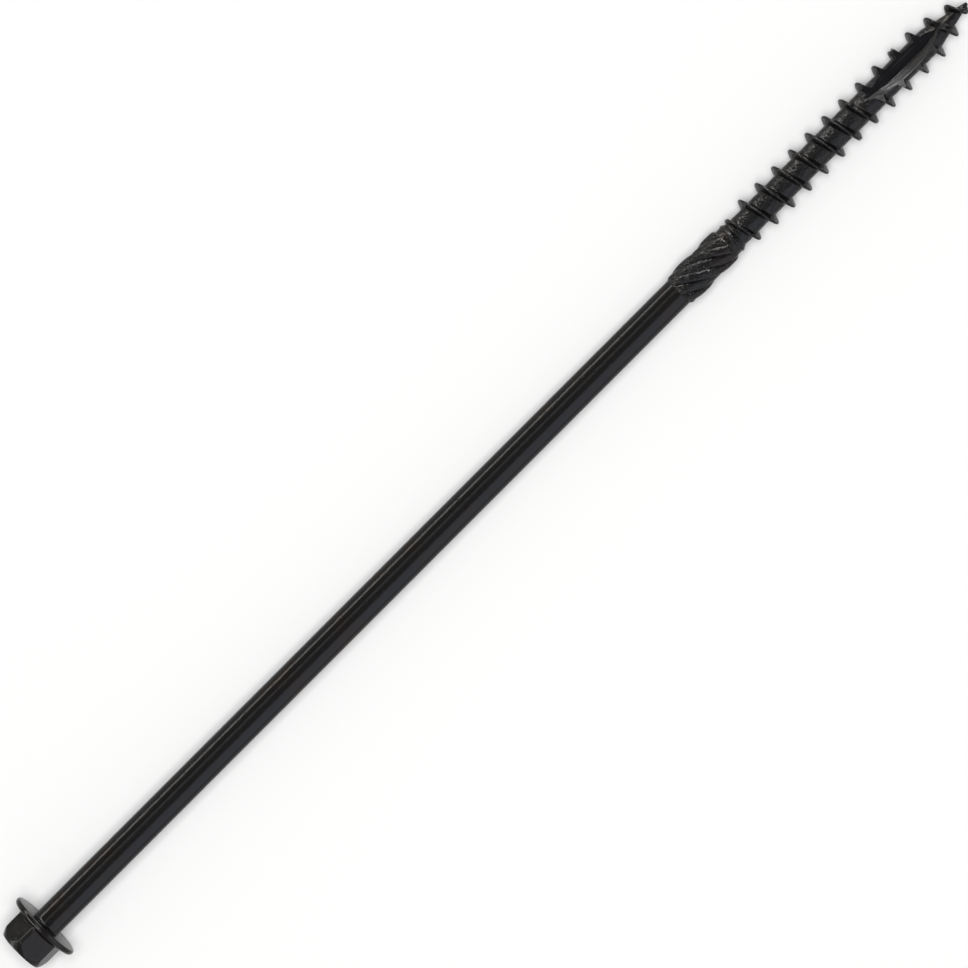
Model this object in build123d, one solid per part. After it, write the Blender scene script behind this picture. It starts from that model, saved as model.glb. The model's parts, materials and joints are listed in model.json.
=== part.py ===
from build123d import *
import math
import os

# Construction screw, cold headed and thread rolled in one piece of steel.
# It has a hex washer head with a shallow round recess, a plain shank, a ribbed
# reamer, a coarse right-hand thread, a milled cutting flute and a gimlet point.
# The screw is modelled upright along Z, bearing face at Z = 0 and point upward,
# and is laid down at the end as it comes to rest on a table. Sizes are in mm.

# Length of the screw, from the bearing face to the point.
under_head_length = 203.2

# Hex head.
head_height = 5.95
hex_flats = 7.94
hex_draft = 0.4
hex_corner_round = 0.6
hex_turn = 17.7

# Crown: the edge of the head's top, turned to a cone that cuts the hexagon's corners.
crown_diameter = 7.44
crown_drop = 1.75
crown_round = 0.35

# Round recess in the top of the head.
recess_diameter = 6.75
recess_depth = 0.9
recess_wall_run = 0.38
recess_floor_round = 0.2

# Washer flange.
flange_diameter = 12.17
flange_rim = 0.85
flange_rise = 0.65
flange_top_round = 0.4
flange_edge_round = 0.28
under_head_fillet = 0.4

# Plain shank.
shank_diameter = 4.87

# Reamer: tall and low ribs in turn, wound with a steep right-hand lead.
reamer_length = 10.9
reamer_rib_pairs = 4
reamer_lead = 22.5
reamer_valley_diameter = 4.95
reamer_low_rib_diameter = 5.42
reamer_tall_rib_diameter = 5.92
reamer_rib_land = 0.5
reamer_ramp = 0.75
reamer_turn = -57.6

# Plain collar and rolled ring between the reamer and the thread.
collar_length = 1.0
collar_diameter = 5.0
ring_width = 0.35
ring_ramp = 0.12
ring_diameter = 5.28
neck_length = 0.7

# Thread.
thread_length = 51.5
thread_diameter = 7.04
thread_core_diameter = 4.4
thread_pitch = 3.67
thread_base_width = 1.16
thread_crest_width = 0.3
thread_start_turn = -108.0
thread_start_height = 0.75
thread_start_rise = 1.7
thread_growth = 5.2

# Gimlet point.
point_length = 8.3
point_diameter = 0.52
thread_end_gap = 0.3
thread_end_fade = 2.1

# Flute, milled by a disc cutter whose rim makes a V with its face.
flute_cutter_radius = 20.6
flute_from_point = 13.6
flute_turn = 60.0
flute_floor_height = 0.29
flute_side_step = 0.44
flute_face_angle = 36.0
flute_rim_angle = 80.0

# Construction values: overlaps that fuse the forms, how deep the tooth is rooted in
# the core, how far its start is sunk, and points along each turn.
overlap = 0.3
thread_root_share = 0.85
thread_start_sink = 0.15
points_per_turn = 16

shank_radius = shank_diameter / 2
flange_radius = flange_diameter / 2
core_radius = thread_core_diameter / 2
crest_radius = thread_diameter / 2
point_radius = point_diameter / 2
point_start = under_head_length - point_length
thread_start = under_head_length - thread_length
reamer_end = thread_start - collar_length
reamer_start = reamer_end - reamer_length
thread_end = under_head_length - thread_end_gap
thread_height = crest_radius - core_radius
flank_run = (thread_base_width - thread_crest_width) / 2 / thread_height


def turned(outline):
    """Solid of revolution about Z, from (radius, height, rounding) corners in order.

    A rounding is the distance from its corner at which the curve leaves each side.
    """
    corners = [Vector(radius, 0, height) for radius, height, _ in outline]
    edges = []
    leave = []
    for i, corner in enumerate(corners):
        rounding = outline[i][2]
        before = corner + (corners[i - 1] - corner).normalized() * rounding
        after = corner + (corners[(i + 1) % len(corners)] - corner).normalized() * rounding
        if rounding:
            edges.append(Bezier(before, corner, after))
        leave.append((before, after))
    for i, (before, _) in enumerate(leave):
        edges.append(Line(leave[i - 1][1], before))
    return revolve(make_face(Wire(edges)), Axis.Z)


def blank():
    """Flange, shank, collar, ring, thread core and point, turned in one outline."""
    ring_start = thread_start - ring_width
    return turned([
        (0, -flange_rim - flange_rise, 0),
        (hex_flats / 2 - overlap, -flange_rim - flange_rise, 0),
        (flange_radius, -flange_rim, flange_top_round),
        (flange_radius, 0, flange_edge_round),
        (shank_radius, 0, under_head_fillet),
        (shank_radius, reamer_end - reamer_ramp, 0),
        (collar_diameter / 2, reamer_end - reamer_ramp, 0),
        (collar_diameter / 2, ring_start, 0),
        (ring_diameter / 2, ring_start + ring_ramp, 0),
        (ring_diameter / 2, thread_start, 0),
        (core_radius, thread_start + neck_length, 0),
        (core_radius, point_start, 0),
        (point_radius, under_head_length, 0),
        (0, under_head_length, 0),
    ])


def hex_head():
    """Drafted hexagon with rounded corners, crowned at the top and recessed."""
    wrench_height = head_height - flange_rim
    base = Plane((0, 0, -flange_rim), x_dir=(1, 0, 0), z_dir=(0, 0, -1))
    hexagon = RegularPolygon(hex_flats / 2, 6, major_radius=False, rotation=-hex_turn)
    hexagon = fillet(hexagon.vertices(), hex_corner_round)
    prism = extrude(base * hexagon, wrench_height, taper=hex_draft)

    corner = hex_flats / 2 / math.cos(math.pi / 6)
    crown = turned([
        (0, -head_height, 0),
        (crown_diameter / 2, -head_height, crown_round),
        (corner, -head_height + crown_drop, crown_round),
        (corner, 0, 0),
        (0, 0, 0),
    ])

    rim = recess_diameter / 2
    slope = recess_wall_run / recess_depth
    recess = turned([
        (0, -head_height + recess_depth, 0),
        (rim - recess_wall_run, -head_height + recess_depth, recess_floor_round),
        (rim + overlap * slope, -head_height - overlap, 0),
        (0, -head_height - overlap, 0),
    ])
    return (prism & crown) - recess


def reamer_section():
    """Corners of the ribbed section, going round: two on each crest, one in each valley."""
    rib_angle = math.pi / reamer_rib_pairs
    corners = []
    for i in range(2 * reamer_rib_pairs):
        crest = (reamer_low_rib_diameter if i % 2 else reamer_tall_rib_diameter) / 2
        middle = math.radians(reamer_turn) + i * rib_angle
        half_land = reamer_rib_land / 2 / crest
        corners.append((crest, middle - half_land))
        corners.append((crest, middle + half_land))
        corners.append((reamer_valley_diameter / 2, middle + rib_angle / 2))
    return [(radius * math.cos(turn), radius * math.sin(turn)) for radius, turn in corners]


def reamer():
    """Ribs twisted about the axis, ramped up at one end and down at the other."""
    start = reamer_start - overlap
    height = reamer_length + overlap
    section = Pos(0, 0, start) * make_face(Polyline(*reamer_section(), close=True))
    twist = 360 * height / reamer_lead
    ribs = Solid.extrude_linear_with_rotation(section.face(), (0, 0, start), (0, 0, height), twist)

    tall = reamer_tall_rib_diameter / 2
    slope = (tall - shank_radius) / reamer_ramp
    envelope = turned([
        (0, start, 0),
        (shank_radius - overlap * slope, start, 0),
        (tall + overlap * slope, reamer_start + reamer_ramp + overlap, 0),
        (tall + overlap * slope, reamer_end - reamer_ramp - overlap, 0),
        (shank_radius, reamer_end, 0),
        (0, reamer_end, 0),
    ])
    return ribs & envelope


def smooth(share):
    """Ease from 0 to 1, level at both ends."""
    share = min(max(share, 0), 1)
    return share * share * (3 - 2 * share)


def core_radius_at(height):
    """Radius of the thread's core, which tapers along the point."""
    along = max(height - point_start, 0) / point_length
    return core_radius + (point_radius - core_radius) * along


def crest_radius_at(height):
    """Radius of the crest: it grows from the ring, and fades out at the point."""
    rise = smooth((height - thread_start) / thread_start_rise)
    growth = smooth((height - thread_start) / thread_growth)
    full = thread_start_height + (thread_height - thread_start_height) * growth
    started = (full + thread_start_sink) * rise - thread_start_sink
    left = min(max((thread_end - height) / thread_end_fade, 0), 1)
    return core_radius_at(height) + started * (1 - (1 - left) ** 2)


def thread_corner(height, side, on_crest):
    """Corner of the tooth's section, at the height where its middle has turned to."""
    root = thread_root_share * core_radius_at(height)
    crest = crest_radius_at(height)
    radius = crest if on_crest else root
    run = 0 if on_crest else flank_run * (crest - root)
    turn = math.radians(thread_start_turn) + 2 * math.pi * (height - thread_start) / thread_pitch
    offset = side * (thread_crest_width / 2 + run)
    return Vector(radius * math.cos(turn), radius * math.sin(turn), height + offset)


def thread_stations():
    """Heights at which the tooth's bands are divided, at most one turn apart."""
    marks = [
        thread_start,
        thread_start + thread_start_rise,
        thread_start + thread_growth,
        point_start,
        thread_end - thread_end_fade,
        thread_end,
    ]
    stations = [marks[0]]
    for low, high in zip(marks, marks[1:]):
        count = math.ceil((high - low) / thread_pitch)
        stations += [low + (high - low) * (i + 1) / count for i in range(count)]
    return stations


def thread():
    """Tooth of the thread: two flanks, a narrow crest and a root buried in the core."""
    corners = [(-1, False), (-1, True), (1, True), (1, False)]
    stations = thread_stations()
    faces = []
    spans = []
    for low, high in zip(stations, stations[1:]):
        count = max(math.ceil(points_per_turn * (high - low) / thread_pitch), 4)
        heights = [low + (high - low) * i / count for i in range(count + 1)]
        edges = [
            Edge.make_spline([thread_corner(height, side, top) for height in heights])
            for side, top in corners
        ]
        spans.append(edges)
        for first, second in zip(edges, edges[1:] + edges[:1]):
            faces.append(Face.make_surface_from_curves(first, second))
    faces.append(Face(Wire.make_polygon([edge @ 0 for edge in spans[0]])))
    faces.append(Face(Wire.make_polygon([edge @ 1 for edge in spans[-1]])))
    return Solid(Shell(faces))


def flute_cutter():
    """Disc whose rim and face leave the flute's two walls, curved as it cuts."""
    outward = Vector(math.cos(math.radians(flute_turn)), math.sin(math.radians(flute_turn)), 0)
    across = Vector(-outward.Y, outward.X, 0)
    deepest = outward * flute_floor_height + across * flute_side_step
    centre = deepest + outward * flute_cutter_radius
    centre += Vector(0, 0, under_head_length - flute_from_point)
    reach = thread_diameter
    face_angle = math.radians(flute_face_angle)
    rim_angle = math.radians(flute_rim_angle)
    section = [
        (flute_cutter_radius, 0),
        (flute_cutter_radius - reach * math.cos(rim_angle), reach * math.sin(rim_angle)),
        (flute_cutter_radius - reach * math.cos(face_angle), reach * math.sin(rim_angle)),
        (flute_cutter_radius - reach * math.cos(face_angle), -reach * math.sin(face_angle)),
    ]
    corners = [centre - outward * radius + across * side for radius, side in section]
    outline = Face(Wire.make_polygon(corners))
    return revolve(outline, Axis(centre, across))


def lay_down(screw):
    """Turn the point to +X and tip the axis until rim and last crest both rest."""
    rim_centre = flange_radius - flange_edge_round
    bottom_turn = math.radians(270 - thread_start_turn)
    turns = math.floor((point_start - thread_start) / thread_pitch - bottom_turn / (2 * math.pi))
    last_crest = thread_start + thread_pitch * (turns + bottom_turn / (2 * math.pi))
    span = last_crest + thread_crest_width / 2 + flange_edge_round
    drop = rim_centre - crest_radius
    tilt = math.asin(flange_edge_round / math.hypot(span, drop)) + math.atan2(drop, span)
    upright = Plane((0, 0, 0), x_dir=(0, 1, 0), z_dir=(1, 0, 0))
    laid = Rot(0, math.degrees(tilt), 0) * (upright.location * screw)
    box = laid.bounding_box()
    print(f"rest tilt {math.degrees(tilt):.4f} degrees, last full crest at {last_crest:.3f}")
    print(f"axis start moved to {-box.center().X:.4f}, {-box.center().Y:.4f}, {-box.min.Z:.4f}")
    return Pos(-box.center().X, -box.center().Y, -box.min.Z) * laid


def screw():
    """The whole screw as one solid, upright."""
    body = blank() + hex_head()
    body = body + reamer()
    body = body + thread()
    return body - flute_cutter()


def main():
    """Build the screw, lay it down and write it."""
    os.makedirs("parts", exist_ok=True)
    part = lay_down(screw())
    part.label = "construction_screw"
    export_step(part, "parts/construction_screw.step")


if __name__ == "__main__":
    main()
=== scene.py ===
"""Looks of a long black construction screw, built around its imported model.

The screw is one piece of steel, so one mesh stands for it. The mesh is made as the
screw itself is made: a blank is turned, its head is forged to a hexagon, the reamer
and the thread are rolled, and the flute is milled. All of that is done upright, in
millimetres, with the bearing face at height 0 and the point upward. The finished mesh
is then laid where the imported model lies. Angles among the sizes are in degrees.
"""

import json
import logging
import math
from collections.abc import Callable
from dataclasses import dataclass, field
from enum import Enum

import bmesh
import bpy
from mathutils import Matrix, Vector, noise

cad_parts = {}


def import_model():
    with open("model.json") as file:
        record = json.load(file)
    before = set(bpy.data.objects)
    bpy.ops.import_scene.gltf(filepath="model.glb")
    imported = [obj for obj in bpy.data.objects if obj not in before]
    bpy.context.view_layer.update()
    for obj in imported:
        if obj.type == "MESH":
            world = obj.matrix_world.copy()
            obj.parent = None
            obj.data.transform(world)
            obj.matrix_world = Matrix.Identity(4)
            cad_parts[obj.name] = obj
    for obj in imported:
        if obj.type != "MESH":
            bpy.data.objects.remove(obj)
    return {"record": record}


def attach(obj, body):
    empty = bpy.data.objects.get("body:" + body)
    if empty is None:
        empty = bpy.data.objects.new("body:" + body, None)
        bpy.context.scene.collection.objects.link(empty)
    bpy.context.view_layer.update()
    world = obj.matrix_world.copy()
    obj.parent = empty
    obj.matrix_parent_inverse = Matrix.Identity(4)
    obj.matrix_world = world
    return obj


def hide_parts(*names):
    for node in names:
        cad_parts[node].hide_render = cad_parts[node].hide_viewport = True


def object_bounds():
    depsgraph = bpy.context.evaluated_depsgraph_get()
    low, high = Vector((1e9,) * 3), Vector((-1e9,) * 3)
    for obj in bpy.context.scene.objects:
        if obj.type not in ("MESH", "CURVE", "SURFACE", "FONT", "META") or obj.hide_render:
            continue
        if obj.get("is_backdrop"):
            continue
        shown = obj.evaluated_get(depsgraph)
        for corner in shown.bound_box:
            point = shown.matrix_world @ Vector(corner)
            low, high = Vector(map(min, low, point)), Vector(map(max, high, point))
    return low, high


MM = 0.001
FULL_TURN = 2 * math.pi
# Points of the upright screw that are nearer than this, in millimetres, are one point.
WELD = 0.0005
# Sockets of a Mix node that mixes two colours.
MIX_FIRST = 6
MIX_SECOND = 7
MIX_RESULT = 2
NODE = "construction_screw"

log = logging.getLogger("screw")


class Surface(Enum):
    """Kinds of surface on the screw, numbered as their materials are on the mesh."""

    COATED = 0
    ROLLED = 1
    FACE_CUT = 2
    RIM_CUT = 3


def smooth(share: float) -> float:
    """Ease from 0 to 1, level at both ends."""
    share = min(max(share, 0.0), 1.0)
    return share * share * (3 - 2 * share)


def blend(low: float, high: float, share: float) -> float:
    """Value a share of the way from low to high."""
    return low + (high - low) * share


def lumps(place: Vector, size: float) -> float:
    """Smooth noise from -1 to 1, with lumps of about that size in millimetres."""
    return noise.noise(place / size)


def soft_min(first: float, second: float, width: float) -> float:
    """Lesser of two values, rounded off over a width where they cross."""
    near = max(width - abs(first - second), 0.0) / width
    return min(first, second) - near * near * width / 4


@dataclass(frozen=True)
class Corner:
    """Corner of a turned outline, in millimetres."""

    radius: float
    height: float
    rounding: float = 0.0
    segments: int = 4


def draw_outline(bm: bmesh.types.BMesh, corners: list[Corner]) -> None:
    """Draw an outline in the XZ plane and round its corners.

    Args:
        bm: Empty mesh that takes the outline as edges.
        corners: Corners in order along the outline.
    """
    verts = [bm.verts.new((corner.radius, 0, corner.height)) for corner in corners]
    for pair in zip(verts, verts[1:]):
        bm.edges.new(pair)
    for corner, vert in zip(corners, verts):
        if corner.rounding:
            bmesh.ops.bevel(
                bm,
                geom=[vert],
                offset=corner.rounding,
                offset_type="OFFSET",
                segments=corner.segments,
                profile=0.5,
                affect="VERTICES",
                material=-1,
            )


def divide(bm: bmesh.types.BMesh, spacing: Callable[[Vector], float]) -> None:
    """Cut each edge so that no piece is longer than the spacing at its middle.

    Args:
        bm: Mesh whose edges are cut.
        spacing: Function that gives the longest piece for a place in millimetres.
    """
    for edge in list(bm.edges):
        middle = (edge.verts[0].co + edge.verts[1].co) / 2
        cuts = int(edge.calc_length() / spacing(middle))
        if cuts:
            bmesh.ops.subdivide_edges(bm, edges=[edge], cuts=cuts)


def polar(place: Vector) -> tuple[float, float]:
    """Distance from the screw's axis, and angle about it."""
    return math.hypot(place.x, place.y), math.atan2(place.y, place.x)


def put(vert: bmesh.types.BMVert, radius: float, angle: float, height: float) -> None:
    """Move a vertex to a place given by radius, angle and height."""
    vert.co = (radius * math.cos(angle), radius * math.sin(angle), height)


@dataclass
class HexHead:
    """Hex washer head with a shallow round recess and a flange."""

    height: float = 5.95
    sides: int = 6
    flats: float = 7.94
    draft: float = 0.4
    corner_round: float = 0.6
    turn: float = 17.7
    crown_diameter: float = 7.44
    crown_drop: float = 1.75
    crown_round: float = 0.2
    crown_edge: float = 0.08
    recess_diameter: float = 6.75
    rim_edge: float = 0.1
    recess_depth: float = 0.9
    recess_wall_run: float = 0.38
    recess_floor_round: float = 0.2
    root_fillet: float = 0.22
    flange_diameter: float = 12.17
    flange_rim: float = 0.85
    flange_rise: float = 0.65
    flange_top_round: float = 0.4
    flange_edge: float = 0.28
    flange_start: float = 3.67
    bearing_fillet: float = 0.4
    corner_crowding: float = 0.8

    @property
    def corner_radius(self) -> float:
        """Radius of the blank, which reaches the hexagon's sharp corners."""
        return self.flats / 2 / math.cos(math.pi / self.sides)

    @property
    def flange_radius(self) -> float:
        """Radius of the washer flange."""
        return self.flange_diameter / 2

    @property
    def crown_end(self) -> float:
        """Height at which the crown's cone reaches the hexagon's sharp corners."""
        return -self.height + self.crown_drop

    def flange_top(self, radius: float) -> float:
        """Height of the flange's conical top at a radius."""
        share = (self.flange_radius - radius) / (self.flange_radius - self.flange_start)
        return -self.flange_rim - self.flange_rise * share

    def corners(self) -> list[Corner]:
        """Draw up the outline of the blank's head.

        Returns:
            Corners from the middle of the recess to the bearing face.
        """
        floor = -self.height + self.recess_depth
        rim = self.recess_diameter / 2
        blank = self.corner_radius
        return [
            Corner(0, floor),
            Corner(rim - self.recess_wall_run, floor, self.recess_floor_round),
            Corner(rim, -self.height, self.rim_edge, 3),
            Corner(self.crown_diameter / 2, -self.height, self.crown_round),
            Corner(blank, self.crown_end),
            Corner(blank, self.flange_top(blank), self.root_fillet),
            Corner(self.flange_radius, -self.flange_rim, self.flange_top_round, 7),
            Corner(self.flange_radius, 0, self.flange_edge, 5),
        ]

    def apothem(self, height: float) -> float:
        """Half of the width across flats at a height, with the forging draft."""
        return self.flats / 2 + (height + self.flange_rim) * math.tan(math.radians(self.draft))

    def hexagon_radius(self, angle: float, height: float) -> float:
        """Radius of the hexagon with its rounded corners.

        Args:
            angle: Angle about the axis.
            height: Height along the screw.

        Returns:
            Distance from the axis to the side of the head there.
        """
        step = FULL_TURN / self.sides
        off_corner = (angle - math.radians(self.turn) + step / 2) % step - step / 2
        apothem = self.apothem(height)
        flat = apothem / math.cos(step / 2 - abs(off_corner))
        centre = (apothem - self.corner_round) / math.cos(step / 2)
        side = centre * math.sin(off_corner)
        rounded = centre * math.cos(off_corner)
        if abs(side) < self.corner_round:
            rounded += math.sqrt(self.corner_round**2 - side**2)
        tangent = math.atan2((apothem - self.corner_round) * math.tan(step / 2), apothem)
        return rounded if step / 2 - abs(off_corner) > tangent else flat

    def crowd(self, angle: float) -> float:
        """Shift an angle towards the nearest corner of the hexagon, where the mesh is closer."""
        off = angle - math.radians(self.turn)
        return angle - self.corner_crowding * math.sin(self.sides * off) / self.sides

    def forge_flange(self, radius: float, angle: float, height: float) -> tuple[float, float, float]:
        """Draw the flange's top in to the foot of the hexagon.

        Args:
            radius: Distance of a point of the blank from the axis.
            angle: Its angle about the axis.
            height: Its height along the screw.

        Returns:
            Radius, angle and height of the forged point.
        """
        edge = self.flange_radius - self.flange_top_round
        if radius >= edge:
            return radius, angle, height
        blank = self.corner_radius
        angle = blend(angle, self.crowd(angle), smooth((edge - radius) / (edge - blank)))
        share = (radius - blank) / (edge - blank)
        forged = blend(self.hexagon_radius(angle, height), edge, share)
        return forged, angle, height + self.flange_top(forged) - self.flange_top(radius)

    def forge(self, bm: bmesh.types.BMesh) -> None:
        """Press the round head of the blank into a hexagon, under its conical crown.

        Args:
            bm: Mesh of the turned blank.
        """
        rim = self.recess_diameter / 2
        blank = self.corner_radius
        root = self.flange_top(blank) - self.root_fillet
        for vert in bm.verts:
            radius, angle = polar(vert.co)
            height = vert.co.z
            if radius < rim - WELD or (radius < blank - WELD and height > root + WELD):
                continue
            if height > root + WELD:
                put(vert, *self.forge_flange(radius, angle, height))
                continue
            angle = blend(angle, self.crowd(angle), smooth((radius - rim) / (blank - rim)))
            side = self.hexagon_radius(angle, height)
            share = max((height - self.crown_end) / (root - self.crown_end), 0.0)
            height += (self.flange_top(side) - self.flange_top(blank)) * share
            put(vert, soft_min(radius, side, self.crown_edge), angle, height)


@dataclass
class Reamer:
    """Tall and low ribs in turn, rolled with a steep right-hand lead."""

    start: float = 139.8
    length: float = 10.9
    pairs: int = 4
    lead: float = 22.5
    valley_diameter: float = 4.95
    low_diameter: float = 5.42
    tall_diameter: float = 5.92
    land: float = 0.5
    ramp: float = 0.75
    turn: float = -57.6
    turn_from: float = 139.5
    roundness: float = 0.7
    lump_size: float = 0.8
    lump_height: float = 0.05

    @property
    def end(self) -> float:
        """Height at which the ribs end."""
        return self.start + self.length

    def twist(self, height: float) -> float:
        """Angle through which the ribs have turned at a height."""
        height = min(max(height, self.start), self.end)
        return FULL_TURN * (height - self.start) / self.lead

    def rib_radius(self, section_angle: float) -> float:
        """Radius of the ribbed section.

        Args:
            section_angle: Angle about the axis from the middle of a tall rib.

        Returns:
            Distance from the axis to the side of the section there.
        """
        step = math.pi / self.pairs
        number = round(section_angle / step)
        crest = (self.low_diameter if number % 2 else self.tall_diameter) / 2
        off = abs(section_angle - number * step)
        half_land = self.land / 2 / crest
        share = min(max((step / 2 - off) / (step / 2 - half_land), 0.0), 1.0)
        rise = math.sin(share * math.pi / 2) ** self.roundness
        return blend(self.valley_diameter / 2, crest, rise)

    def envelope(self, height: float, shank: float) -> float:
        """Radius that the ribs stay within, which ramps at both ends.

        Args:
            height: Height along the screw.
            shank: Radius of the plain shank.

        Returns:
            Greatest radius of a rib at that height.
        """
        up = smooth((height - self.start) / self.ramp)
        down = smooth((self.end - height) / self.ramp)
        return blend(shank, self.tall_diameter / 2, min(up, down))

    def roll(self, bm: bmesh.types.BMesh, shank: float) -> None:
        """Raise the ribs on the blank, along columns that are turned to follow them.

        Args:
            bm: Mesh of the turned blank.
            shank: Radius of the plain shank.
        """
        first_rib = math.radians(self.turn) + FULL_TURN * (self.start - self.turn_from) / self.lead
        for vert in bm.verts:
            if vert.co.z < self.start:
                continue
            radius, angle = polar(vert.co)
            if vert.co.z < self.end:
                ribs = self.rib_radius(angle - first_rib)
                ribs += self.lump_height * lumps(vert.co, self.lump_size)
                radius = max(radius, min(ribs, self.envelope(vert.co.z, shank)))
            put(vert, radius, angle + self.twist(vert.co.z), vert.co.z)


@dataclass(frozen=True)
class CrestFlaw:
    """Place where the tooth's crest is blunt, or split where the two sides of it met."""

    station: float
    spread: float
    drop: float
    split: float
    steepness: float = 1.5

    def weight(self, station: float) -> float:
        """How strongly the flaw shows at a station, from 0 to 1."""
        return smooth(self.steepness * (1 - abs(station - self.station) / self.spread))


@dataclass
class Thread:
    """Coarse right-hand tooth over the core and the gimlet point."""

    start: float = 151.7
    tip: float = 203.2
    diameter: float = 7.04
    core_diameter: float = 4.4
    pitch: float = 3.67
    base_width: float = 1.16
    crest_width: float = 0.3
    start_turn: float = -108.0
    start_height: float = 0.75
    start_rise: float = 1.7
    growth: float = 5.2
    bury: float = 0.15
    point_length: float = 8.3
    point_diameter: float = 0.52
    end_gap: float = 0.3
    end_fade: float = 2.1
    neck_length: float = 0.7
    ring_radius: float = 2.64
    root_round: float = 0.16
    crest_round: float = 0.1
    columns: int = 96
    spacing: float = 0.32
    wave_height: float = 0.05
    waves_per_mm: float = 1.9
    wave_row: float = 3.1
    wave_sink: float = 0.4
    core_lump_size: float = 0.75
    core_lump_height: float = 0.05
    core_lump_sink: float = 0.3
    flaw_widening: float = 2.6
    neck_depth: float = 0.3
    overlap: float = 0.25
    nose: float = 0.16
    # Each step's share of the nose's length, and how much of the width is left after it.
    nose_steps: tuple[tuple[float, float], ...] = ((0.6, 0.82), (0.3, 0.6), (0.1, 0.4))
    weld: float = 0.005
    flaws: tuple[CrestFlaw, ...] = (
        CrestFlaw(station=172.99, spread=0.3, drop=0.1, split=0.0),
        CrestFlaw(station=176.66, spread=0.32, drop=0.1, split=0.1),
        CrestFlaw(station=180.33, spread=0.34, drop=0.12, split=0.0),
        CrestFlaw(station=189.5, spread=0.34, drop=0.12, split=0.35),
    )

    @property
    def core(self) -> float:
        """Radius of the thread's core."""
        return self.core_diameter / 2

    @property
    def tooth(self) -> float:
        """Height of the full tooth over the core."""
        return (self.diameter - self.core_diameter) / 2

    def bare_core(self, height: float) -> float:
        """Radius of the core with the taper of the point."""
        along = (height - self.tip + self.point_length) / self.point_length
        return blend(self.core, self.point_diameter / 2, min(max(along, 0.0), 1.0))

    def neck(self) -> list[Corner]:
        """Draw up the neck, which slopes from the ring down into the core.

        Returns:
            Corners from the ring to the axis.
        """
        slope = (self.ring_radius - self.core) / self.neck_length
        buried = self.core - self.neck_depth
        end = self.start + (self.ring_radius - buried) / slope
        return [Corner(self.ring_radius, self.start), Corner(buried, end), Corner(0, end)]

    def tooth_height(self, station: float) -> float:
        """Height of the tooth over the core, which grows from the ring and fades at the point.

        Args:
            station: Height along the screw of the tooth's middle.

        Returns:
            Height in millimetres.
        """
        rise = smooth((station - self.start) / self.start_rise)
        growth = smooth((station - self.start) / self.growth)
        full = blend(self.start_height, self.tooth, growth)
        started = (full + self.bury) * rise - self.bury
        left = min(max((self.tip - self.end_gap - station) / self.end_fade, 0.0), 1.0)
        return max(started * (1 - (1 - left) ** 2), 0.0)

    def middle_angle(self, height: float) -> float:
        """Angle that the middle of the tooth has turned to at a height."""
        return math.radians(self.start_turn) + FULL_TURN * (height - self.start) / self.pitch

    def outline(self) -> list[Corner]:
        """Draw up the tooth and its roots over one pitch.

        Returns:
            Corners about height 0.
        """
        root = self.core
        crest = root + self.tooth
        return [
            Corner(root, -self.pitch / 2),
            Corner(root, -self.base_width / 2, self.root_round, 3),
            Corner(crest, -self.crest_width / 2, self.crest_round, 2),
            Corner(crest, 0),
            Corner(crest, self.crest_width / 2, self.crest_round, 2),
            Corner(root, self.base_width / 2, self.root_round, 3),
            Corner(root, self.pitch / 2),
        ]

    def spin(self) -> bmesh.types.BMesh:
        """Wind the outline of one pitch into a helix that covers the whole threaded end.

        Returns:
            Mesh of the helix, with every tooth at full height.
        """
        bm = bmesh.new()
        draw_outline(bm, self.outline())
        divide(bm, lambda place: self.spacing)
        first = self.start - self.pitch
        turn = Matrix.Rotation(self.middle_angle(first), 4, "Z")
        bmesh.ops.transform(bm, matrix=Matrix.Translation((0, 0, first)) @ turn, verts=bm.verts)
        bmesh.ops.spin(
            bm,
            geom=bm.verts[:] + bm.edges[:],
            cent=(0, 0, 0),
            axis=(0, 0, 1),
            dvec=(0, 0, self.pitch / self.columns),
            angle=FULL_TURN,
            steps=self.columns,
            use_merge=False,
        )
        one_turn = bm.verts[:] + bm.edges[:] + bm.faces[:]
        for number in range(1, math.ceil((self.tip - first) / self.pitch) + 1):
            copy = bmesh.ops.duplicate(bm, geom=one_turn)["geom"]
            verts = [item for item in copy if isinstance(item, bmesh.types.BMVert)]
            bmesh.ops.translate(bm, vec=(0, 0, self.pitch * number), verts=verts)
        bmesh.ops.remove_doubles(bm, verts=bm.verts, dist=self.weld)
        return bm

    def crest_wave(self, station: float) -> float:
        """Unevenness of the rolled crest along the thread, in millimetres."""
        wave = noise.noise(Vector((station * self.waves_per_mm, self.wave_row, 0)))
        return self.wave_height * (wave - self.wave_sink)

    def crest_damage(self, station: float, offset: float) -> tuple[float, float]:
        """How far the flaws lower the crest, and how much they widen it.

        Args:
            station: Height along the screw of the tooth's middle.
            offset: Distance along the screw from the middle of the tooth.

        Returns:
            Depth in millimetres, and a factor for the tooth's width at its crest.
        """
        middle = max(1 - abs(offset) / (self.crest_width / 2), 0.0)
        depth = 0.0
        widening = 1.0
        for flaw in self.flaws:
            weight = flaw.weight(station)
            depth += weight * (flaw.drop + flaw.split * middle)
            widening += weight * (flaw.drop + flaw.split) * self.flaw_widening
        return depth, widening

    def offset_share(self, offset: float, scale: float) -> float:
        """Narrow the tooth with its height, and stretch the root to keep the pitch.

        Args:
            offset: Distance along the screw from the middle of the tooth.
            scale: Height of the tooth there, as a share of the full height.

        Returns:
            New distance from the middle of the tooth.
        """
        crest = self.crest_width / 2
        base = self.base_width / 2
        away = abs(offset)
        new_base = blend(crest, base, scale)
        if away > base:
            away = blend(new_base, self.pitch / 2, (away - base) / (self.pitch / 2 - base))
        elif away > crest:
            away = blend(crest, new_base, (away - crest) / (base - crest))
        return math.copysign(away, offset)

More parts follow.
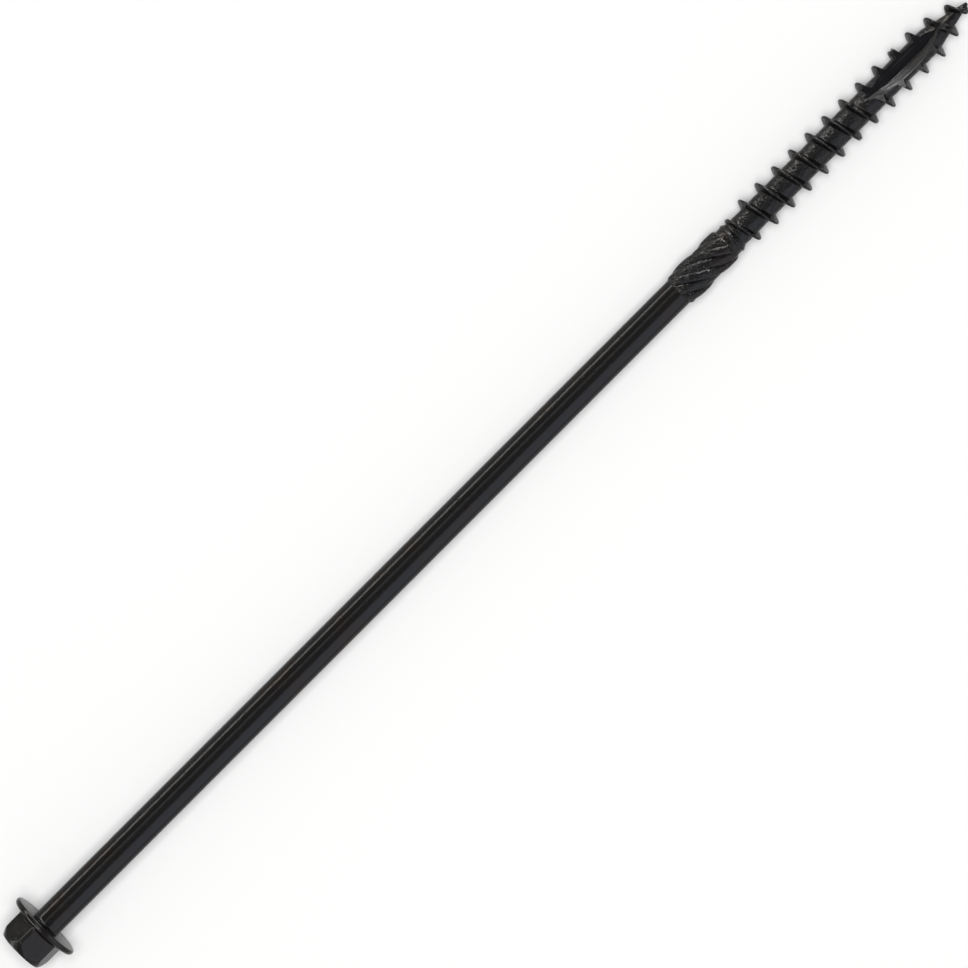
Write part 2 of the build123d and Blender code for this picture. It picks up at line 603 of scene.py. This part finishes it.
    def roll(self, bm: bmesh.types.BMesh) -> None:
        """Give each part of the wound tooth its own height, on a core that tapers.

        Args:
            bm: Mesh of the helix.
        """
        for vert in bm.verts:
            radius, angle = polar(vert.co)
            turned = (angle - math.radians(self.start_turn)) / FULL_TURN * self.pitch + self.start
            offset = (vert.co.z - turned + self.pitch / 2) % self.pitch - self.pitch / 2
            station = vert.co.z - offset
            share = (radius - self.core) / self.tooth
            tooth = self.tooth_height(station)
            scale = min(tooth / self.tooth, 1.0)
            damage, widening = self.crest_damage(station, offset)
            height = station + self.offset_share(offset, scale) * blend(1.0, widening, share)
            flaw = (self.crest_wave(station) - damage) * share * share * scale
            lump = lumps(vert.co, self.core_lump_size) - self.core_lump_sink
            uneven = self.core_lump_height * lump
            core = self.bare_core(height) * (1 + uneven / self.core)
            reach = blend(core, self.bare_core(station), scale) + tooth + flaw
            put(vert, blend(core, reach, share), angle, height)

    def trim(self, bm: bmesh.types.BMesh) -> None:
        """Cut the helix level inside the ring and at the point, and close both ends.

        Args:
            bm: Mesh of the rolled helix.
        """
        for height, normal in ((self.start - self.overlap, -1), (self.tip - self.nose, 1)):
            bmesh.ops.bisect_plane(
                bm,
                geom=bm.verts[:] + bm.edges[:] + bm.faces[:],
                dist=WELD / 5,
                plane_co=(0, 0, height),
                plane_no=(0, 0, normal),
                clear_outer=True,
            )
        middle = (self.start + self.tip) / 2
        edges = [e for e in bm.edges if e.is_boundary and e.verts[0].co.z > middle]
        for rise, narrow in self.nose_steps:
            made = bmesh.ops.extrude_edge_only(bm, edges=edges)["geom"]
            edges = [e for e in made if isinstance(e, bmesh.types.BMEdge)]
            edges = [e for e in edges if e.is_boundary]
            verts = list({v for e in edges for v in e.verts})
            bmesh.ops.scale(bm, vec=(narrow, narrow, 1), verts=verts)
            bmesh.ops.translate(bm, vec=(0, 0, self.nose * rise), verts=verts)
        bmesh.ops.holes_fill(bm, edges=[e for e in bm.edges if e.is_boundary], sides=0)
        bmesh.ops.recalc_face_normals(bm, faces=bm.faces)

    def build(self) -> bmesh.types.BMesh:
        """Build the threaded end.

        Returns:
            Closed mesh, with its first stretch inside the ring.
        """
        bm = self.spin()
        self.roll(bm)
        self.trim(bm)
        for item in bm.faces:
            item.material_index = Surface.ROLLED.value
        return bm


@dataclass
class Flute:
    """V-shaped cutting flute, milled across the last turns by a disc cutter."""

    cutter_radius: float = 20.6
    from_point: float = 13.6
    turn: float = 60.0
    floor_height: float = 0.29
    side_step: float = 0.44
    face_angle: float = 36.0
    rim_angle: float = 80.0
    reach: float = 7.04
    tip: float = 203.2
    columns: int = 360

    def cutter(self, materials: list[bpy.types.Material]) -> bpy.types.Object:
        """Build the disc cutter as a closed ring, where it stands at its deepest.

        Args:
            materials: Materials of the screw, in the order of Surface.

        Returns:
            Object that is cut away from the screw.
        """
        turn = math.radians(self.turn)
        outward = Vector((math.cos(turn), math.sin(turn), 0))
        across = Vector((-outward.y, outward.x, 0))
        centre = outward * (self.floor_height + self.cutter_radius) + across * self.side_step
        centre += Vector((0, 0, self.tip - self.from_point))
        face = math.radians(self.face_angle)
        rim = math.radians(self.rim_angle)
        section = [
            (self.cutter_radius, 0),
            (self.cutter_radius - self.reach * math.cos(rim), self.reach * math.sin(rim)),
            (self.cutter_radius - self.reach * math.cos(face), self.reach * math.sin(rim)),
            (self.cutter_radius - self.reach * math.cos(face), -self.reach * math.sin(face)),
        ]
        bm = bmesh.new()
        verts = [bm.verts.new(centre - outward * radius + across * side) for radius, side in section]
        for pair in zip(verts, verts[1:] + verts[:1]):
            bm.edges.new(pair)
        bmesh.ops.spin(
            bm,
            geom=bm.verts[:] + bm.edges[:],
            cent=centre,
            axis=across,
            angle=FULL_TURN,
            steps=self.columns,
            use_merge=True,
        )
        bmesh.ops.remove_doubles(bm, verts=bm.verts, dist=WELD)
        bmesh.ops.recalc_face_normals(bm, faces=bm.faces)
        for item in bm.faces:
            # The rim's wall gets the material with painted light, and the face's wall the one with painted
            # shade.
            on_rim = (item.calc_center_median() - centre).dot(across) > 0
            item.material_index = (Surface.RIM_CUT if on_rim else Surface.FACE_CUT).value
            item.smooth = True
        return object_from(bm, "flute_cutter", materials)


def object_from(bm: bmesh.types.BMesh, name: str, materials: list[bpy.types.Material]) -> bpy.types.Object:
    """Make an object of a mesh and put it in the scene.

    Args:
        bm: Mesh, which is used up.
        name: Name of the object.
        materials: Materials for the mesh's material places, in order.

    Returns:
        The new object.
    """
    mesh = bpy.data.meshes.new(name)
    bm.to_mesh(mesh)
    bm.free()
    for material in materials:
        mesh.materials.append(material)
    made = bpy.data.objects.new(name, mesh)
    bpy.context.scene.collection.objects.link(made)
    return made


@dataclass
class Screw:
    """The whole screw, forged, rolled and milled in one piece."""

    head: HexHead = field(default_factory=HexHead)
    reamer: Reamer = field(default_factory=Reamer)
    thread: Thread = field(default_factory=Thread)
    flute: Flute = field(default_factory=Flute)
    shank_diameter: float = 4.87
    collar_diameter: float = 5.0
    ring_width: float = 0.35
    ring_round: float = 0.06
    columns: int = 144
    crown_spacing: float = 0.09
    head_spacing: float = 0.4
    worked_spacing: float = 0.16
    shank_spacing: float = 6.0
    sliver: float = 0.002
    sharp_angle: float = 38.0

    def corners(self) -> list[Corner]:
        """Draw up the outline of the blank.

        Returns:
            Corners from the recess in the head to the end of the neck.
        """
        shank = self.shank_diameter / 2
        collar = self.collar_diameter / 2
        ring = self.thread.start - self.ring_width
        return self.head.corners() + [
            Corner(shank, 0, self.head.bearing_fillet, 5),
            Corner(shank, self.reamer.start - self.reamer.ramp),
            Corner(shank, self.reamer.end - self.reamer.ramp),
            Corner(collar, self.reamer.end - self.reamer.ramp / 2),
            Corner(collar, ring, self.ring_round, 2),
            Corner(self.thread.ring_radius, ring + self.ring_width / 3, self.ring_round, 2),
        ] + self.thread.neck()

    def spacing(self, place: Vector) -> float:
        """Choose how finely the outline is divided, which is finer where the blank is worked.

        Args:
            place: Place on the outline.

        Returns:
            Longest piece there, in millimetres.
        """
        crown_end = self.head.crown_end + self.head.crown_edge
        if place.z < crown_end and place.x > self.head.crown_diameter / 2:
            return self.crown_spacing
        if place.z < 0:
            return self.head_spacing
        if place.z > self.reamer.start - self.reamer.ramp:
            return self.worked_spacing
        return self.shank_spacing

    def blank(self) -> bmesh.types.BMesh:
        """Turn the blank, forge its head and roll the reamer on it.

        Returns:
            Closed mesh from the head to the end of the neck.
        """
        bm = bmesh.new()
        draw_outline(bm, self.corners())
        divide(bm, self.spacing)
        turn = Matrix.Rotation(math.radians(self.head.turn), 4, "Z")
        bmesh.ops.transform(bm, matrix=turn, verts=bm.verts)
        bmesh.ops.spin(
            bm,
            geom=bm.verts[:] + bm.edges[:],
            cent=(0, 0, 0),
            axis=(0, 0, 1),
            angle=FULL_TURN,
            steps=self.columns,
            use_merge=True,
        )
        bmesh.ops.remove_doubles(bm, verts=bm.verts, dist=WELD)
        self.head.forge(bm)
        self.reamer.roll(bm, self.shank_diameter / 2)
        for item in bm.faces:
            if item.calc_center_median().z > self.reamer.start:
                item.material_index = Surface.ROLLED.value
        bmesh.ops.recalc_face_normals(bm, faces=bm.faces)
        return bm

    def combine(self, body: bpy.types.Object, tools: dict[str, bpy.types.Object]) -> bpy.types.Mesh:
        """Add the threaded end to the blank and cut the flute.

        Args:
            body: The forged blank with its reamer.
            tools: Boolean operations, each with the object that it is done with.

        Returns:
            Mesh of the whole screw.
        """
        for operation, tool in tools.items():
            step = body.modifiers.new(tool.name, "BOOLEAN")
            step.operation = operation
            step.solver = "EXACT"
            step.object = tool
        graph = bpy.context.evaluated_depsgraph_get()
        combined = bpy.data.meshes.new_from_object(body.evaluated_get(graph))
        for used in (body, *tools.values()):
            mesh = used.data
            bpy.data.objects.remove(used)
            bpy.data.meshes.remove(mesh)
        return combined

    def clean(self, mesh: bpy.types.Mesh) -> None:
        """Dissolve the slivers that the cuts leave, and smooth every face.

        Args:
            mesh: Mesh of the whole screw, in millimetres.
        """
        bm = bmesh.new()
        bm.from_mesh(mesh)
        bmesh.ops.dissolve_degenerate(bm, dist=self.sliver, edges=bm.edges)
        bmesh.ops.recalc_face_normals(bm, faces=bm.faces)
        for item in bm.faces:
            item.smooth = True
        bm.to_mesh(mesh)
        bm.free()

    def build(self, lie: Matrix, materials: list[bpy.types.Material]) -> bpy.types.Object:
        """Build the screw and lay it down.

        Args:
            lie: Matrix from the upright screw in millimetres to its place in metres.
            materials: Its materials, in the order of Surface.

        Returns:
            The finished piece.
        """
        body = object_from(self.blank(), "forged_blank", materials)
        end = object_from(self.thread.build(), "threaded_end", materials)
        mesh = self.combine(body, {"UNION": end, "DIFFERENCE": self.flute.cutter(materials)})
        self.clean(mesh)
        mesh.transform(lie)
        mesh.set_sharp_from_angle(angle=math.radians(self.sharp_angle))
        mesh.name = "coated_screw"
        piece = bpy.data.objects.new("coated_screw", mesh)
        bpy.context.scene.collection.objects.link(piece)
        return piece


def linear(hex_colour: str) -> tuple[float, float, float, float]:
    """Turn an sRGB colour into the linear colour that a shader takes.

    Args:
        hex_colour: Colour as # and six hex digits.

    Returns:
        Red, green, blue and alpha.
    """
    parts = [int(hex_colour[i : i + 2], 16) / 255 for i in (1, 3, 5)]
    red, green, blue = [c / 12.92 if c <= 0.04045 else ((c + 0.055) / 1.055) ** 2.4 for c in parts]
    return red, green, blue, 1.0


def add_node(tree: bpy.types.NodeTree, kind: str, settings: dict | None = None,
             **links: bpy.types.NodeSocket) -> bpy.types.Node:
    """Add a node with its settings and links.

    Args:
        tree: Node tree of the material or world.
        kind: Blender's name for the kind of node.
        settings: Values of its own properties, or of its inputs by name.
        links: Inputs, with _ for a space, each with the output that feeds it.

    Returns:
        The new node.
    """
    node = tree.nodes.new(kind)
    for name, value in (settings or {}).items():
        if name in node.inputs:
            node.inputs[name].default_value = value
        else:
            setattr(node, name, value)
    for name, output in links.items():
        tree.links.new(output, node.inputs[name.replace("_", " ")])
    return node


@dataclass(frozen=True)
class FlakeCoat:
    """Black zinc-flake coat on steel, dipped, spun and baked.

    To the eye it is a smooth black skin with a soft gloss. It flows a little before it
    sets, which leaves a faint orange peel, and its flakes and the shot-blasted steel
    under it leave a fine grain with a few brighter specks. Real flakes are about a tenth
    of the grain drawn here, which is as coarse as it needs to be to show.
    """

    name: str = "dipped_black_flake_coat"
    colour: str = "#222222"
    stain: str = "#2b211b"
    edge: str = "#c6c6c6"
    flake_share: float = 0.65
    binder_gloss: float = 0.3
    roughness: float = 0.19
    roughness_spread: float = 0.05
    roughness_size: float = 1.2
    stain_size: float = 6.0
    stain_share: float = 0.3
    stain_range: tuple[float, float] = (0.5, 0.72)
    peel_size: float = 0.8
    peel_height: float = 0.012
    grain_size: float = 0.2
    grain_height: float = 0.009
    speck_spacing: float = 0.75
    speck_radius: float = 0.13
    speck_height: float = 0.02

    def grain(self, tree: bpy.types.NodeTree,
              place: bpy.types.NodeSocket) -> tuple[float, bpy.types.NodeSocket]:
        """Grain of the flakes.

        Args:
            tree: Node tree of the material.
            place: Coordinates on the screw.

        Returns:
            Its height in millimetres, and its pattern.
        """
        flakes = add_node(tree, "ShaderNodeTexNoise",
                          {"Scale": 1 / (self.grain_size * MM), "Detail": 1.0}, Vector=place)
        return self.grain_height, flakes.outputs["Fac"]

    def reliefs(self, tree: bpy.types.NodeTree,
                place: bpy.types.NodeSocket) -> list[tuple[float, bpy.types.NodeSocket]]:
        """Orange peel, grain and specks of the coat.

        Args:
            tree: Node tree of the material.
            place: Coordinates on the screw.

        Returns:
            Height in millimetres and pattern of each.
        """
        peel = add_node(tree, "ShaderNodeTexNoise",
                        {"Scale": 1 / (self.peel_size * MM), "Detail": 2.0}, Vector=place)
        cells = add_node(tree, "ShaderNodeTexVoronoi",
                         {"Scale": 1 / (self.speck_spacing * MM)}, Vector=place)
        specks = add_node(tree, "ShaderNodeMapRange",
                          {"From Min": self.speck_radius / self.speck_spacing, "From Max": 0.0},
                          Value=cells.outputs["Distance"])
        return [
            (self.peel_height, peel.outputs["Fac"]),
            self.grain(tree, place),
            (self.speck_height, specks.outputs["Result"]),
        ]

    def marks(self, tree: bpy.types.NodeTree,
              place: bpy.types.NodeSocket) -> tuple[str, bpy.types.NodeSocket]:
        """Faint brown patches on the coat.

        Args:
            tree: Node tree of the material.
            place: Coordinates on the screw.

        Returns:
            Colour of the marks, and how much of it shows.
        """
        patches = add_node(tree, "ShaderNodeTexNoise",
                           {"Scale": 1 / (self.stain_size * MM), "Detail": 3.0}, Vector=place)
        shown = add_node(tree, "ShaderNodeMapRange",
                         {"From Min": self.stain_range[0], "From Max": self.stain_range[1],
                          "To Max": self.stain_share}, Value=patches.outputs["Fac"])
        return self.stain, shown.outputs["Result"]

    def build(self) -> bpy.types.Material:
        """Build the material.

        Returns:
            Material with its bumps, uneven gloss and marks.
        """
        material = bpy.data.materials.new(self.name)
        material.use_nodes = True
        tree = material.node_tree
        tree.nodes.clear()
        place = add_node(tree, "ShaderNodeTexCoord").outputs["Object"]
        under: dict[str, bpy.types.NodeSocket] = {}
        for height, pattern in self.reliefs(tree, place):
            raised = add_node(tree, "ShaderNodeBump", {"Distance": height * MM, "Strength": 1.0},
                              Height=pattern, **under)
            under = {"Normal": raised.outputs["Normal"]}
        uneven = add_node(tree, "ShaderNodeTexNoise",
                          {"Scale": 1 / (self.roughness_size * MM), "Detail": 2.0}, Vector=place)
        rough = add_node(tree, "ShaderNodeMapRange",
                         {"To Min": self.roughness - self.roughness_spread,
                          "To Max": self.roughness + self.roughness_spread},
                         Value=uneven.outputs["Fac"])
        mark_colour, shown = self.marks(tree, place)
        tone = add_node(tree, "ShaderNodeMix", {"data_type": "RGBA"}, Factor=shown)
        tone.inputs[MIX_FIRST].default_value = linear(self.colour)
        tone.inputs[MIX_SECOND].default_value = linear(mark_colour)
        shader = add_node(tree, "ShaderNodeBsdfPrincipled",
                          {"Metallic": self.flake_share, "Specular IOR Level": self.binder_gloss,
                           "Specular Tint": linear(self.edge)},
                          Base_Color=tone.outputs[MIX_RESULT], Roughness=rough.outputs["Result"], **under)
        add_node(tree, "ShaderNodeOutputMaterial", Surface=shader.outputs["BSDF"])
        return material


@dataclass(frozen=True)
class MilledCoat(FlakeCoat):
    """The same coat in the flute, over steel that a disc cutter has milled. In the scene its two walls are
    given different colours, which paint light on one and shade on the other.

    The cutter leaves fine lines along the flute. They are finer on the real screw than
    here, where they are drawn just wide enough to show.
    """

    line_width: float = 0.3
    line_length: float = 30.0
    line_height: float = 0.05
    line_colour: str = "#343435"
    crest_range: tuple[float, float] = (0.55, 0.66)

    def lines(self, tree: bpy.types.NodeTree, place: bpy.types.NodeSocket) -> bpy.types.NodeSocket:
        """Long streaks that run the way the cutter went.

        Args:
            tree: Node tree of the material.
            place: Coordinates on the screw.

        Returns:
            Pattern of the streaks.
        """
        across = 1 / (self.line_width * MM)
        drawn = add_node(tree, "ShaderNodeMapping",
                         {"Scale": (1 / (self.line_length * MM), across, across)}, Vector=place)
        streaks = add_node(tree, "ShaderNodeTexNoise", {"Scale": 1.0, "Detail": 2.0},
                           Vector=drawn.outputs["Vector"])
        return streaks.outputs["Fac"]

    def reliefs(self, tree: bpy.types.NodeTree,
                place: bpy.types.NodeSocket) -> list[tuple[float, bpy.types.NodeSocket]]:
        """Milled lines, with the coat's grain on them."""
        return [(self.line_height, self.lines(tree, place)), self.grain(tree, place)]

    def marks(self, tree: bpy.types.NodeTree,
              place: bpy.types.NodeSocket) -> tuple[str, bpy.types.NodeSocket]:
        """Lighter colour along the highest of the milled lines."""
        shown = add_node(tree, "ShaderNodeMapRange",
                         {"From Min": self.crest_range[0], "From Max": self.crest_range[1]},
                         Value=self.lines(tree, place))
        return self.line_colour, shown.outputs["Result"]


@dataclass(frozen=True)
class Softbox:
    """Softbox that faces the screw.

    Its elevation above the floor and its azimuth about the vertical from +X are in degrees,
    and its distance, width and height in metres. At a level of 1 its face is white.
    """

    name: str
    elevation: float
    azimuth: float
    away: float
    width: float
    height: float
    level: float
    colour: str = "#ffffff"
    in_reflections: bool = True
    on_matt: bool = False

    def build(self, centre: Vector) -> None:
        """Add the softbox to the scene.

        Args:
            centre: Middle of the screw.
        """
        data = bpy.data.lights.new(self.name, "AREA")
        data.shape = "RECTANGLE"
        data.size = self.width
        data.size_y = self.height
        data.energy = self.level * math.pi * self.width * self.height
        data.color = linear(self.colour)[:3]
        made = bpy.data.objects.new(self.name, data)
        bpy.context.scene.collection.objects.link(made)
        lift = math.radians(self.elevation)
        side = math.radians(self.azimuth)
        back = Vector((math.cos(side) * math.cos(lift), math.sin(side) * math.cos(lift), math.sin(lift)))
        made.location = centre + back * self.away
        made.rotation_euler = back.to_track_quat("Z", "Y").to_euler()
        made.visible_glossy = self.in_reflections
        made.visible_diffuse = self.on_matt


SOFTBOXES = (
    # Lights the floor, from a face small enough to keep the shadow under the screw.
    Softbox(name="overhead", elevation=90, azimuth=90, away=1.4, width=0.7, height=0.7, level=9.8,
            in_reflections=False, on_matt=True),
    # Grey sheen on the lower side of the shank and on the hexagon.
    Softbox(name="side_box", elevation=31, azimuth=-90, away=0.7, width=1.8, height=0.84, level=1.76,
            colour="#e9edff"),
    # Thin bright line along the upper side of the shank.
    Softbox(name="strip", elevation=17, azimuth=90, away=0.6, width=1.6, height=0.09, level=10.5,
            colour="#fffaf0"),
    # Faint second line along the middle of the shank.
    Softbox(name="top_band", elevation=70, azimuth=90, away=0.8, width=1.4, height=0.1, level=2.4),
    # Glints on the head's side of the flange.
    Softbox(name="head_lamp", elevation=7, azimuth=165, away=0.5, width=0.25, height=0.08, level=20.0),
    Softbox(name="head_top", elevation=52, azimuth=162, away=0.5, width=0.12, height=0.08, level=25.0),
    # Glints on the bearing side of the flange, the fillet under it and the cone of the point.
    Softbox(name="point_lamp", elevation=12, azimuth=20, away=0.5, width=0.28, height=0.06, level=60.0),
    Softbox(name="point_side", elevation=23, azimuth=60, away=0.5, width=0.12, height=0.12, level=40.0),
)


@dataclass
class Studio:
    """White floor, soft lamps and the camera above the screw."""

    centre: Vector
    softboxes: tuple[Softbox, ...] = SOFTBOXES
    surroundings: str = "#9d9c9b"
    floor_colour: str = "#fbfbfb"
    floor_size: float = 3.0
    camera_reach: float = 10.0
    camera_height: float = 1.15
    camera_along: float = 0.1618
    camera_across: float = 0.0002
    aim: tuple[float, float, float] = (-0.00138, 0.00027, 0.005)
    roll: float = 44.93
    lens: float = 274.7

    def camera(self, start: Vector, axis: Vector) -> None:
        """Put the camera above the threaded end, looking down at the screw's middle.

        Args:
            start: Centre of the bearing face.
            axis: Direction of the screw's axis, towards the point.
        """
        data = bpy.data.cameras.new("camera")
        data.lens = self.lens
        data.clip_end = self.camera_reach
        made = bpy.data.objects.new("camera", data)
        bpy.context.scene.collection.objects.link(made)
        foot = start + axis * self.camera_along
        place = Vector((foot.x, self.camera_across, self.aim[2] + self.camera_height))
        look = (Vector(self.aim) - place).normalized()
        turn = math.radians(self.roll)
        right = look.cross(Vector((math.cos(turn), math.sin(turn), 0))).normalized()
        up = right.cross(look)
        matrix = Matrix((right, up, -look)).transposed().to_4x4()
        matrix.translation = place
        made.matrix_world = matrix
        bpy.context.scene.camera = made

    def floor(self) -> None:
        """Add the white floor that the screw lies on."""
        bm = bmesh.new()
        bmesh.ops.create_grid(bm, x_segments=1, y_segments=1, size=self.floor_size / 2)
        material = bpy.data.materials.new("white_matt_card")
        material.use_nodes = True
        shader = material.node_tree.nodes["Principled BSDF"]
        shader.inputs["Base Color"].default_value = linear(self.floor_colour)
        shader.inputs["Roughness"].default_value = 1.0
        shader.inputs["Specular IOR Level"].default_value = 0.0
        made = object_from(bm, "floor", [material])
        made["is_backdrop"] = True

    def build(self, start: Vector, axis: Vector) -> None:
        """Build the studio.

        Args:
            start: Centre of the bearing face.
            axis: Direction of the screw's axis, towards the point.
        """
        world = bpy.data.worlds.new("studio")
        bpy.context.scene.world = world
        world.use_nodes = True
        background = world.node_tree.nodes["Background"]
        background.inputs["Color"].default_value = linear(self.surroundings)
        self.camera(start, axis)
        self.floor()
        for softbox in self.softboxes:
            softbox.build(self.centre)
        bpy.context.scene.view_settings.view_transform = "Standard"


def main() -> None:
    """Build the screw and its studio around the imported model."""
    logging.basicConfig(level=logging.INFO)
    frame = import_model()
    cad_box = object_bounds()
    mounts = {mount["name"]: mount for mount in frame["record"]["mounts"]}
    face = mounts["bearing_face"]
    start = Vector((face["pos_m"][0], 0, face["pos_m"][2]))
    axis = Vector(face["axis"])
    side = Vector((0, 1, 0))
    lie = Matrix((side, axis.cross(side), axis)).transposed().to_4x4()
    lie.translation = start
    lie = lie @ Matrix.Scale(MM, 4)

    studio = Studio(centre=(cad_box[0] + cad_box[1]) / 2)
    studio.build(start, axis)
    materials = [
        # Dipping and spinning leaves a smooth skin, with a soft gloss and a few specks.
        FlakeCoat().build(),
        # Rolling leaves the steel uneven, so the coat on it breaks the highlights into dashes.
        FlakeCoat(name="rolled_flake_coat", roughness=0.2, peel_size=0.45, peel_height=0.17,
                  grain_height=0.03, speck_spacing=0.5, speck_height=0.1).build(),
        # The cutter's face leaves a smoother wall. Its near-black colour, darker than the coat's, is
        # painted shade, and fine lighter lines run along it.
        MilledCoat(name="face_milled_coat_painted_shade", colour="#0e0e0e", binder_gloss=0.15,
                   roughness=0.3, line_height=0.04, line_colour="#1b1b1c").build(),
        # Its rim leaves the other wall with deeper lines and grain. Its grey, lighter than the face's
        # wall, is painted light.
        MilledCoat(name="rim_milled_coat_painted_light", colour="#242425", roughness=0.3, line_height=0.1,
                   grain_height=0.02).build(),
    ]
    piece = Screw().build(lie, materials)
    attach(piece, "root")
    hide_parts(NODE)
    triangles = sum(len(p.vertices) - 2 for p in piece.data.polygons)
    log.info("%s: %d triangles", piece.name, triangles)


if __name__ == "__main__":
    main()
